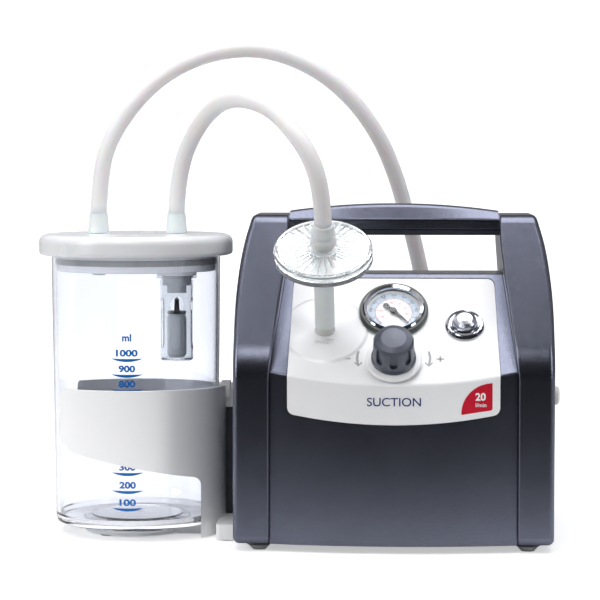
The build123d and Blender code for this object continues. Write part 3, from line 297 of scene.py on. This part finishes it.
def joined(meshes):
    """One mesh from several (points, faces) pairs."""
    points, faces = [], []
    for ps, fs in meshes:
        n = len(points)
        points += [tuple(p) for p in ps]
        faces += [tuple(i + n for i in f) for f in fs]
    return mesh_of(points, faces)


def letters(text, height, centre=(0.0, 0.0), bold=0.0, width=None):
    """A word as flat triangles in a plane, its capitals `height` mm high, centred on `centre`: (points, faces) in mm."""
    c = bpy.data.curves.new("word", "FONT")
    c.body = text
    c.size = 10.0
    c.offset = bold
    c.resolution_u = 6
    ob = bpy.data.objects.new("word", c)
    scene.collection.objects.link(ob)
    bpy.context.view_layer.update()
    me = bpy.data.meshes.new_from_object(ob.evaluated_get(bpy.context.evaluated_depsgraph_get()))
    ps = [(v.co.x, v.co.y) for v in me.vertices]
    fs = [tuple(p.vertices) for p in me.polygons]
    bpy.data.objects.remove(ob)
    bpy.data.curves.remove(c)
    bpy.data.meshes.remove(me)
    x0, x1 = min(p[0] for p in ps), max(p[0] for p in ps)
    y0, y1 = min(p[1] for p in ps), max(p[1] for p in ps)
    k = height / (y1 - y0)
    kx = k if width is None else width / (x1 - x0)
    return [((p[0] - (x0 + x1) / 2) * kx + centre[0], (p[1] - (y0 + y1) / 2) * k + centre[1]) for p in ps], fs


def placed(flat, put):
    """Flat (points, faces) set on a surface by put(u, v)."""
    return [put(u, v) for u, v in flat[0]], flat[1]


def strip(line, width, closed=False):
    """A flat ribbon of that width along a line of (u, v): (points, faces)."""
    ps, fs = [], []
    n = len(line)
    for i, p in enumerate(line):
        a = line[i - 1] if (i or closed) else p
        b = line[(i + 1) % n] if (i < n - 1 or closed) else p
        d = Vector((b[0] - a[0], b[1] - a[1])).normalized()
        w = width / 2 if not isinstance(width, (list, tuple)) else width[i] / 2
        ps += [(p[0] - d.y * w, p[1] + d.x * w), (p[0] + d.y * w, p[1] - d.x * w)]
    for i in range(n if closed else n - 1):
        j = (i + 1) % n
        fs.append((2 * i, 2 * i + 1, 2 * j + 1, 2 * j))
    return ps, fs


def ring_flat(r0, r1, a0, a1, steps):
    """Part of a flat ring between two angles in degrees: (points, faces)."""
    ps, fs = [], []
    for i in range(steps + 1):
        a = math.radians(a0 + (a1 - a0) * i / steps)
        ps += [(r0 * math.cos(a), r0 * math.sin(a)), (r1 * math.cos(a), r1 * math.sin(a))]
    for i in range(steps):
        fs.append((2 * i, 2 * i + 1, 2 * i + 3, 2 * i + 2))
    return ps, fs


def thick(me, depth):
    """The flat mesh as a solid of that depth, in metres, grown against its faces' normals."""
    bm = bmesh.new()
    bm.from_mesh(me)
    bmesh.ops.remove_doubles(bm, verts=bm.verts, dist=1e-7)
    bmesh.ops.recalc_face_normals(bm, faces=bm.faces)
    bmesh.ops.solidify(bm, geom=bm.faces[:], thickness=depth)
    bm.to_mesh(me)
    bm.free()
    return me


def on_plane(m):
    return lambda u, v: m @ Vector((u / 1000, v / 1000, 0))


# ======================================================================
# Hoses: each one soft line, cut into two tubes where it hands over between bodies
# ======================================================================
def spline_points(points, per_run):
    """The points read along a NURBS line that has these as its control points."""
    c = bpy.data.curves.new("line", "CURVE")
    c.dimensions = "3D"
    c.resolution_u = per_run
    s = c.splines.new("NURBS")
    s.points.add(len(points) - 1)
    for p, q in zip(s.points, points):
        p.co = (*q, 1.0)
    s.order_u = 3
    s.use_endpoint_u = True
    ob = bpy.data.objects.new("line", c)
    scene.collection.objects.link(ob)
    bpy.context.view_layer.update()
    me = bpy.data.meshes.new_from_object(ob.evaluated_get(bpy.context.evaluated_depsgraph_get()))
    out = [v.co.copy() for v in me.vertices]
    bpy.data.objects.remove(ob)
    bpy.data.curves.remove(c)
    bpy.data.meshes.remove(me)
    if (out[0] - Vector(points[0])).length > (out[-1] - Vector(points[0])).length:
        out.reverse()
    return out


def tube(line, radius, sides=28, cap=(True, True), start_normal=None):
    """A round tube along a line, its rings carried along without twist. Returns its mesh and its last ring's normal."""
    ps, fs = [], []
    n = len(line)
    normal = start_normal
    for i, p in enumerate(line):
        d = (line[min(i + 1, n - 1)] - line[max(i - 1, 0)]).normalized()
        if normal is None:
            normal = d.orthogonal()
        normal = (normal - d * normal.dot(d)).normalized()
        other = d.cross(normal)
        for k in range(sides):
            a = 2 * math.pi * k / sides
            ps.append(p + normal * (math.cos(a) * radius) + other * (math.sin(a) * radius))
    for i in range(n - 1):
        for k in range(sides):
            j = (k + 1) % sides
            fs.append((i * sides + k, i * sides + j, (i + 1) * sides + j, (i + 1) * sides + k))
    if cap[0]:
        fs.append(tuple(reversed(range(sides))))
    if cap[1]:
        fs.append(tuple(range((n - 1) * sides, n * sides)))
    return mesh_of(ps, fs), normal


def nearest(line, p):
    return min(range(len(line)), key=lambda i: (line[i] - p).length)


SHORT = [(-145.6, 85, 213.4), (-144.6, 84, 240), (-131.3, 74, 271.5), (-109, 42, 290.5), (-81.3, -4, 285.1), (-64, -26, 270),
         (-50, -34, 250), (-44.2, -29.4, 226.9), (-44.2, -18.4, 210.0)]
PATIENT = [(-198, 85, 213.4), (-196.9, 86, 235.8), (-192.8, 88, 258.4), (-177.9, 92, 283.8), (-155.6, 97, 306.6), (-126.5, 103, 320.8),
           (-93.1, 110, 325.2), (-60.1, 118, 315.4), (-31.6, 127, 294.7), (-10.4, 137, 266.1), (1.4, 148, 237.7), (9.1, 160, 210.3),
           (16.3, 171, 183.8), (24, 181, 145), (31, 189, 108), (38, 195, 74), (44, 200, 34.8), (46.5, 210.7, 16.2), (47, 229.3, 5.6),
           (47, 250.7, 5.6)]
COIL = []
for k in range(0, 33):
    turn = k / 16.0
    r = 77.5 - 11.5 * turn
    a = 2 * math.pi * turn
    COIL.append((COIL_X + r * math.cos(a), COIL_Y + r * math.sin(a), 5.6))
TAIL = [(COIL_X + x, COIL_Y + y, 5.6) for x, y in ((44.5, 31), (30, 39.5), (12.5, 40.5), (-2, 34.5))]

short_line = spline_points([row(*p) for p in SHORT], 10)
patient_line = spline_points([row(*p) for p in PATIENT + COIL + TAIL], 8)
cut_short = nearest(short_line, row(-95.15, 19, 287.8))
cut_patient = nearest(patient_line, row(-76.6, 114, 320.3))

hoses = []
for tag, line, cut, old, last in (
        ("short", short_line, cut_short, (["short_hose_jar_side"], ["short_hose_pump_side"]), row(-44.2, -18.4, 210)),
        ("patient", patient_line, cut_patient, (["patient_hose_jar_side"], ["patient_hose_down", "patient_hose_coil", "patient_hose_tail"]),
         row(10, 160, 210))):
    me, normal = tube(line[:cut + 1], HOSE_D / 2, cap=(True, False))
    first = piece(tag + "_hose_upper", me, MAT["silicone"], None)
    me, _ = tube(line[cut:], HOSE_D / 2, cap=(False, True), start_normal=normal)
    second = piece(tag + "_hose_lower", me, MAT["silicone"], None)
    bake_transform(first)
    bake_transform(second)
    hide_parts(*old[0])
    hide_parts(*old[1])
    hoses += [first, second]

# ======================================================================
# Jar scale
# ======================================================================
marks = {100: 22.1, 200: 33.6, 300: 45.4, 400: 56.3, 500: 67.2, 600: 78.0, 700: 88.9, 800: 99.8, 900: 109.7, 1000: 120.0}
scale = []
for value, z in marks.items():
    n = 24
    top, low = [], []
    for i in range(n + 1):
        u = -10.2 + 20.4 * i / n
        w = min(1.0, (u / 10.2) ** 2)
        top.append((u, z + 0.55 + 0.25 * w))
        low.append((u, z + 0.45 + 0.33 * w - 1.85 * (1 - w) ** 0.9 if w < 1 else z + 0.75))
    flat = (top + low, [(i, n + 1 + i, n + 2 + i, i + 1) for i in range(n)])
    scale.append(placed(flat, lambda u, v: jar_point(u, v, 0.12)))
    word = letters(str(value), 4.5, (0.0, z + 4.35), bold=0.38, width=14.2 if value == 1000 else 10.8)
    scale.append(placed(word, lambda u, v: jar_point(u, v, 0.12)))
scale.append(placed(letters("ml", 4.8, (0.0, 134.4), bold=0.34), lambda u, v: jar_point(u, v, 0.12)))
piece("jar_scale", joined(scale), INK_BLUE, "jar", smooth=False)

# ======================================================================
# Gauge print
# ======================================================================
dial = on_plane(console(0, GAUGE_Y, -0.74))
dial_low = on_plane(console(0, GAUGE_Y, -0.77))
piece("gauge_band", joined([placed(ring_flat(11.7, 16.3, -55, 235, 72), dial_low)]), BAND_BLUE, "pump", smooth=False)
black, rose = [], []
for k in range(51):
    a = math.radians(-45 + 270 * k / 50)
    major = k % 5 == 0
    r0, r1 = 11.9, 13.3 if major else 12.6
    black.append(strip([(r0 * math.cos(a), r0 * math.sin(a)), (r1 * math.cos(a), r1 * math.sin(a))], 0.36 if major else 0.2))
for k in range(11):
    a = math.radians(-45 + 27 * k)
    label = "0" if k == 0 else ("1" if k == 10 else "0." + str(k))
    word = letters(label, 1.7, bold=0.2)
    turn = a - math.pi / 2
    pts = [(x * math.cos(turn) - y * math.sin(turn) + 14.7 * math.cos(a), x * math.sin(turn) + y * math.cos(turn) + 14.7 * math.sin(a)) for x, y in word[0]]
    black.append((pts, word[1]))
for k in range(39):
    a = math.radians(-45 + 36 * 0.2 * k)
    major = k % 5 == 0
    r0, r1 = (9.9 if major else 10.6), 11.5
    rose.append(strip([(r0 * math.cos(a), r0 * math.sin(a)), (r1 * math.cos(a), r1 * math.sin(a))], 0.32 if major else 0.2))
rose.append(ring_flat(11.5, 11.72, -45, 228, 72))
for k in range(8):
    a = math.radians(-45 + 36 * k)
    if k in (1, 2, 3, 4, 5, 6, 7):
        word = letters(str(k * 100), 1.35, (8.2 * math.cos(a), 8.2 * math.sin(a)), bold=0.15)
        rose.append(word)
piece("gauge_scale_outer", joined([placed(f, dial) for f in black]), INK_BLACK, "pump", smooth=False)
piece("gauge_scale_inner", joined([placed(f, dial) for f in rose]), INK_ROSE, "pump", smooth=False)

# ======================================================================
# Panel marks
# ======================================================================
skin = lambda out: (lambda u, v: console(0, 0, 0) @ Vector((u / 1000, v / 1000, out / 1000)))


def up(y):
    """Distance up the slope of the console at depth y."""
    return y / math.cos(SLOPE)


grey = []
for side in (-1, 1):
    x = 22.6 * side
    y0, y1 = up(15.0), up(6.2)
    shaft = [(x - side * 0.9 + side * 1.5 * math.sin(math.pi * (0.12 + 0.76 * i / 8)), y0 + (y1 + 0.6 - y0) * i / 8) for i in range(9)]
    grey.append(strip(shaft, [1.2 + 0.45 * math.sin(math.pi * i / 8) for i in range(9)]))
    tip = (x - side * 0.2, y1)
    grey.append(strip([(tip[0] - 2.3, tip[1] + 3.0), tip, (tip[0] + 2.3, tip[1] + 3.0)], 1.0))
    cx, cy = 29.7 * side, up(10.5)
    grey.append(strip([(cx - 2.4, cy), (cx + 2.4, cy)], 1.1))
    if side > 0:
        grey.append(strip([(cx, cy - 2.3), (cx, cy + 2.3)], 1.1))
piece("panel_arrows", joined([placed(f, skin(0.42)) for f in grey]), INK_GREY, "pump", smooth=False)

word = letters("INLET", 3.2, (INLET_X - 0.3, up(20.3)), width=12.4)
raised = thick(joined([placed(word, skin(1.42))]), -0.00032)
piece("inlet_word", raised, MAT["panel_white"], "pump", smooth=False)

# quarter badge on the panel's front
badge = []
outline = []
cx, cz, rx, rz = 62.4, 90.6, 19.6, 18.6


def quarter(inset):
    pts = []
    for i in range(25):
        a = math.pi / 2 * i / 24
        pts.append((cx - (rx - inset) * math.cos(a), cz - 0.9 + inset * 0.6 + (rz + 0.9 - 1.6 * inset) * math.sin(a)))
    return pts


def rounded(corners, r, steps=6):
    """A closed outline with its corners rounded."""
    out = []
    n = len(corners)
    for i in range(n):
        a, p, b = Vector(corners[i - 1]), Vector(corners[i]), Vector(corners[(i + 1) % n])
        u, v = (a - p), (b - p)
        k = r[i] if isinstance(r, (list, tuple)) else r
        if k <= 0:
            out.append(tuple(p))
            continue
        k = min(k, u.length * 0.45, v.length * 0.45)
        u, v = u.normalized() * k, v.normalized() * k
        for s in range(steps + 1):
            t = s / steps
            q = (1 - t) ** 2 * (p + u) + 2 * t * (1 - t) * p + t ** 2 * (p + v)
            out.append((q.x, q.y))
    return out


arc = [(cx - rx * math.cos(math.pi / 2 * i / 20), cz - 0.6 + (rz + 0.3) * math.sin(math.pi / 2 * i / 20)) for i in range(1, 20)]
corners = [(cx - rx - 0.1, cz - 1.6)] + arc + [(cx, cz + rz), (cx + 0.1, cz + 1.2)]
outline = rounded(corners, [1.4] + [0] * len(arc) + [1.4, 1.4])
centre = (cx - 6.5, cz + 6.0)
rings = 7
ps, fs = [], []
for j in range(1, rings + 1):
    t = j / rings
    ps += [(centre[0] + (p[0] - centre[0]) * t, centre[1] + (p[1] - centre[1]) * t) for p in outline]
n = len(outline)
ps.append(centre)
for i in range(n):
    k = (i + 1) % n
    fs.append((len(ps) - 1, i, k))
    for j in range(rings - 1):
        fs.append((j * n + i, (j + 1) * n + i, (j + 1) * n + k, j * n + k))
piece("flow_badge", joined([placed((ps, fs), lambda u, v: front_point(u, v, 0.10))]), INK_RED, "pump", smooth=True)
figures = [letters("20", 5.0, (54.9, 100.4), bold=0.3), letters("l/min", 2.6, (55.2, 95.2), bold=0.12)]
piece("flow_figures", joined([placed(f, lambda u, v: front_point(u, v, 0.20)) for f in figures]), INK_WHITE, "pump", smooth=False)
piece("panel_word", joined([placed(letters("SUCTION", 5.4, (0.3, 97.2), bold=0.05, width=34.0), lambda u, v: front_point(u, v, 0.10))]),
      INK_NAVY, "pump", smooth=False)

# ======================================================================
# Filter ribs and rim
# ======================================================================
ribs = []
m = inlet(64.8)
for k in range(32):
    a = 2 * math.pi * (k + 0.5) / 32
    d, w = Vector((math.cos(a), math.sin(a), 0)), Vector((-math.sin(a), math.cos(a), 0))
    pts = []
    for r, half, h in ((10.2, 0.42, 0.9), (19.0, 0.55, 0.75), (28.4, 0.7, 0.6)):
        for s, hh in ((-1.0, -0.05), (-0.5, h), (0.5, h), (1.0, -0.05)):
            q = d * r + w * (half * s)
            pts.append(m @ (Vector((q.x, q.y, hh)) / 1000))
    fcs = []
    for j in range(2):
        for i in range(3):
            fcs.append((4 * j + i, 4 * j + i + 1, 4 * j + i + 5, 4 * j + i + 4))
    fcs += [(3, 2, 1, 0), (8, 9, 10, 11)]
    ribs.append((pts, fcs))


def turned(m, profile, sides=96, cut=None):
    """A ring from a closed profile of (radius, along) in mm, turned about the frame's z."""
    ps, fs = [], []
    n = len(profile)
    for k in range(sides):
        a = 2 * math.pi * k / sides
        for r, s in profile:
            ps.append(m @ (Vector((r * math.cos(a), r * math.sin(a), s)) / 1000))
    for k in range(sides):
        j = (k + 1) % sides
        for i in range(n):
            h = (i + 1) % n
            fs.append((k * n + i, j * n + i, j * n + h, k * n + h))
    return ps, fs


rim = turned(m, [(28.6, -0.05), (29.0, 0.75), (29.7, 1.0), (30.4, 0.75), (30.7, -0.05)])
piece("filter_ribs", joined(ribs + [rim]), MAT["filter_clear"], "pump", smooth=False)

# ======================================================================
# Floor, light, world
# ======================================================================
def seen_factor(t):
    """1 for what is seen straight or through a clear wall, 0 for what lights and mirrors see."""
    path = t.nodes.new("ShaderNodeLightPath")
    most = t.nodes.new("ShaderNodeMath")
    most.operation = "MAXIMUM"
    t.links.new(path.outputs["Is Camera Ray"], most.inputs[0])
    t.links.new(path.outputs["Is Transmission Ray"], most.inputs[1])
    return most.outputs[0]


def ramp_of(t, source, stops):
    """A colour ramp over (position, grey) stops."""
    ramp = t.nodes.new("ShaderNodeValToRGB")
    e = ramp.color_ramp.elements
    while len(e) < len(stops):
        e.new(0.5)
    for k, (at, v) in enumerate(stops):
        e[k].position = at
    for k, (at, v) in enumerate(stops):
        e[k].color = (v, v, v * 1.01, 1)
    t.links.new(source, ramp.inputs["Fac"])
    return ramp.outputs["Color"]


def ranged(t, source, a, b):
    r = t.nodes.new("ShaderNodeMapRange")
    r.inputs["From Min"].default_value, r.inputs["From Max"].default_value = a, b
    t.links.new(source, r.inputs["Value"])
    return r.outputs["Result"]


# The floor's look is painted light. To the camera, and through clear walls, it glows over a plain diffuse white, from
# half white near the object to full white far off. Reflections and bounced light see a painted shade instead: near
# black in front of the object and pale behind it.
white = bpy.data.materials.new("studio_floor")
white.use_nodes = True
t = white.node_tree
t.nodes.remove(t.nodes["Principled BSDF"])
coords = t.nodes.new("ShaderNodeTexCoord")
split = t.nodes.new("ShaderNodeSeparateXYZ")
t.links.new(coords.outputs["Object"], split.inputs["Vector"])
far = t.nodes.new("ShaderNodeVectorMath")
far.operation = "LENGTH"
t.links.new(coords.outputs["Object"], far.inputs[0])
plain = t.nodes.new("ShaderNodeBsdfDiffuse")
plain.inputs["Color"].default_value = (0.8, 0.8, 0.8, 1)
painted_floor_glow = t.nodes.new("ShaderNodeEmission")
t.links.new(ramp_of(t, ranged(t, far.outputs["Value"], 0.25, 1.3), [(0.0, 0.50), (1.0, 1.0)]), painted_floor_glow.inputs["Color"])
both = t.nodes.new("ShaderNodeAddShader")
t.links.new(plain.outputs[0], both.inputs[0])
t.links.new(painted_floor_glow.outputs[0], both.inputs[1])
painted_floor_shade = t.nodes.new("ShaderNodeBsdfDiffuse")
t.links.new(ramp_of(t, ranged(t, split.outputs["Y"], -0.62, -0.10), [(0.0, 0.008), (0.35, 0.03), (0.7, 0.42), (1.0, 0.95)]), painted_floor_shade.inputs["Color"])
choose = t.nodes.new("ShaderNodeMixShader")
t.links.new(seen_factor(t), choose.inputs[0])
t.links.new(painted_floor_shade.outputs[0], choose.inputs[1])
t.links.new(both.outputs[0], choose.inputs[2])
t.links.new(choose.outputs[0], t.nodes["Material Output"].inputs["Surface"])

profile = [(-4.0, 0.0), (1.6, 0.0)] + [(1.6 + 1.2 * math.sin(math.radians(a)), 1.2 - 1.2 * math.cos(math.radians(a))) for a in range(6, 91, 6)] + [(2.8, 5.0)]
ps = [(x, y, z) for y, z in profile for x in (-5.0, 5.0)]
fs = [(2 * i, 2 * i + 1, 2 * i + 3, 2 * i + 2) for i in range(len(profile) - 1)]
floor = bpy.data.objects.new("studio_sweep", mesh_of(ps, fs))
scene.collection.objects.link(floor)
floor.data.materials.append(white)
for p in floor.data.polygons:
    p.use_smooth = True


def lamp(name, place, target, size, power, colour=(1, 1, 1)):
    data = bpy.data.lights.new(name, "AREA")
    data.shape = "RECTANGLE"
    data.size, data.size_y = size
    data.energy = power
    data.color = colour
    ob = bpy.data.objects.new(name, data)
    scene.collection.objects.link(ob)
    ob.location = place
    ob.rotation_mode = "QUATERNION"
    ob.rotation_quaternion = (Vector(target) - Vector(place)).to_track_quat("-Z", "Y")
    return ob


lamp("strip_left", (-1.30, -0.80, 0.75), (-0.08, 0.0, 0.14), (0.45, 1.3), 10.5)
lamp("strip_right", (1.25, -0.85, 0.70), (0.05, 0.0, 0.14), (0.30, 1.2), 6.5, (0.97, 0.98, 1.0))
lamp("top", (0.0, -0.05, 1.25), (0.0, -0.02, 0.1), (1.3, 0.8), 12.0, (0.97, 0.97, 1.0))
lamp("front_high", (-0.35, -1.5, 1.5), (-0.05, 0.0, 0.12), (0.9, 0.5), 7.0)

world = bpy.data.worlds.new("studio")
scene.world = world
world.use_nodes = True
t = world.node_tree
bg = t.nodes["Background"]
bg.inputs["Strength"].default_value = 0.55
coords = t.nodes.new("ShaderNodeTexCoord")
split = t.nodes.new("ShaderNodeSeparateXYZ")
t.links.new(coords.outputs["Generated"], split.inputs["Vector"])
height = ramp_of(t, split.outputs["Z"], [(0.0, 0.35), (0.25, 0.6), (0.8, 1.0)])
front = ramp_of(t, ranged(t, split.outputs["Y"], -1.0, 0.3), [(0.0, 0.03), (0.35, 0.25), (1.0, 1.0)])
mix = t.nodes.new("ShaderNodeMix")
mix.data_type = "RGBA"
mix.blend_type = "MULTIPLY"
mix.inputs[0].default_value = 1.0
t.links.new(height, mix.inputs[6])
t.links.new(front, mix.inputs[7])
t.links.new(mix.outputs[2], bg.inputs["Color"])
clean = t.nodes.new("ShaderNodeBackground")
clean.inputs["Color"].default_value = (1, 1, 1, 1)
choose = t.nodes.new("ShaderNodeMixShader")
t.links.new(seen_factor(t), choose.inputs[0])
t.links.new(bg.outputs[0], choose.inputs[1])
t.links.new(clean.outputs[0], choose.inputs[2])
t.links.new(choose.outputs[0], t.nodes["World Output"].inputs["Surface"])

scene.view_settings.view_transform = "Standard"
scene.view_settings.look = "None"
scene.view_settings.exposure = 0.0
